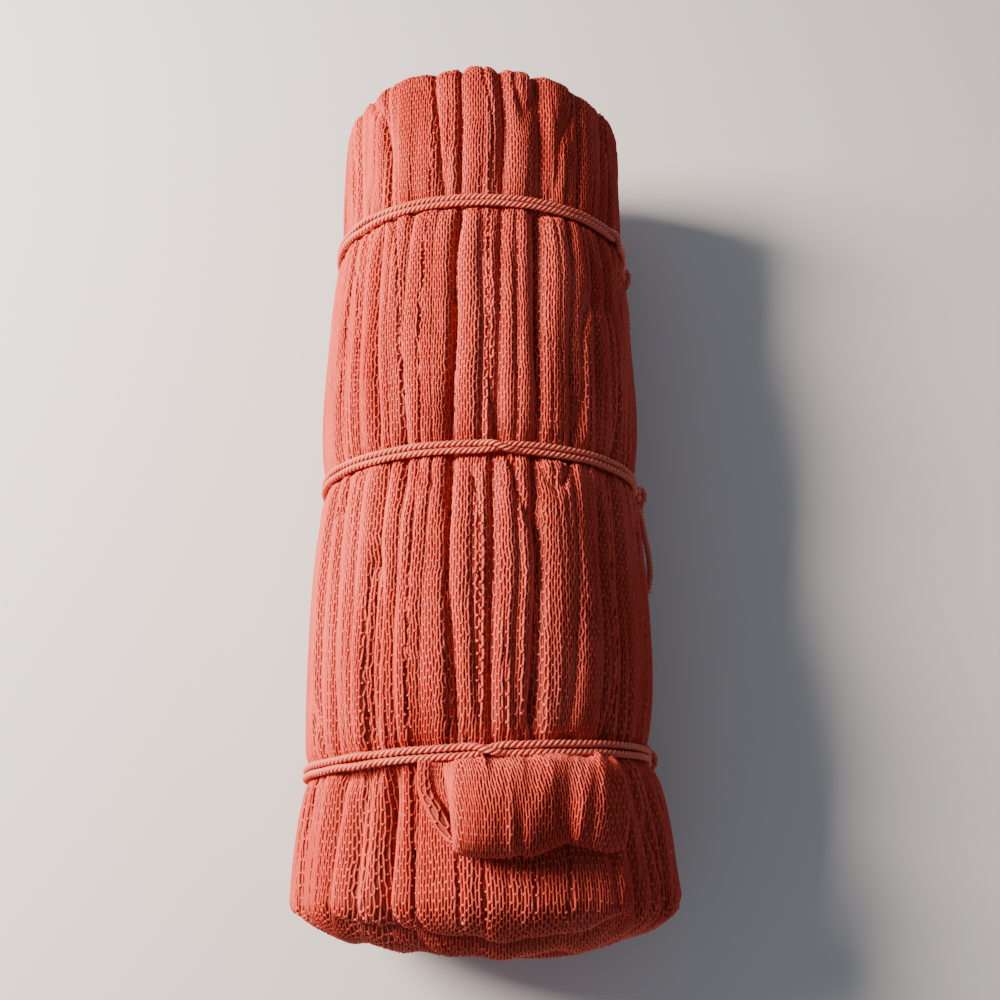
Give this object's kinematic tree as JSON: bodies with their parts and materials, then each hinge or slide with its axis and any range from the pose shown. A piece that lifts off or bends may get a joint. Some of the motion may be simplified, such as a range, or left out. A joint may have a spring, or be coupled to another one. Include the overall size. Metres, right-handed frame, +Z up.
{
  "type": "tied fishing net bundle",
  "caption": "Bundle of red knotted fishing net, folded back and forth, held by doubled twine ties, with a hairpin of netting fallen open at one end.",
  "frame": {"origin": "on the surface the bundle rests on, under the middle of its box", "axes": "+Z up, +Y along the bundle from its end with the fallen hairpin to its plain end, +X to the side where the ties are knotted"},
  "size_m": [0.2163, 0.5567, 0.1736],
  "materials": {
    "netting": "red dipped multifilament nylon netting, matt with a slight sheen on the threads",
    "twine": "three-strand laid nylon twine, dipped the same red"
  },
  "bodies": {
    "root": {"net_bundle": "netting", "tie_lower_turn_a": "twine", "tie_lower_turn_b": "twine", "tie_lower_knot": "twine", "tie_lower_tail_a": "twine", "tie_lower_tail_b": "twine", "tie_middle_turn_a": "twine", "tie_middle_turn_b": "twine", "tie_middle_knot": "twine", "tie_middle_tail_a": "twine", "tie_middle_tail_b": "twine", "tie_upper_turn_a": "twine", "tie_upper_turn_b": "twine", "tie_upper_knot": "twine", "tie_upper_tail_a": "twine", "tie_upper_tail_b": "twine"}
  },
  "joints": []
}
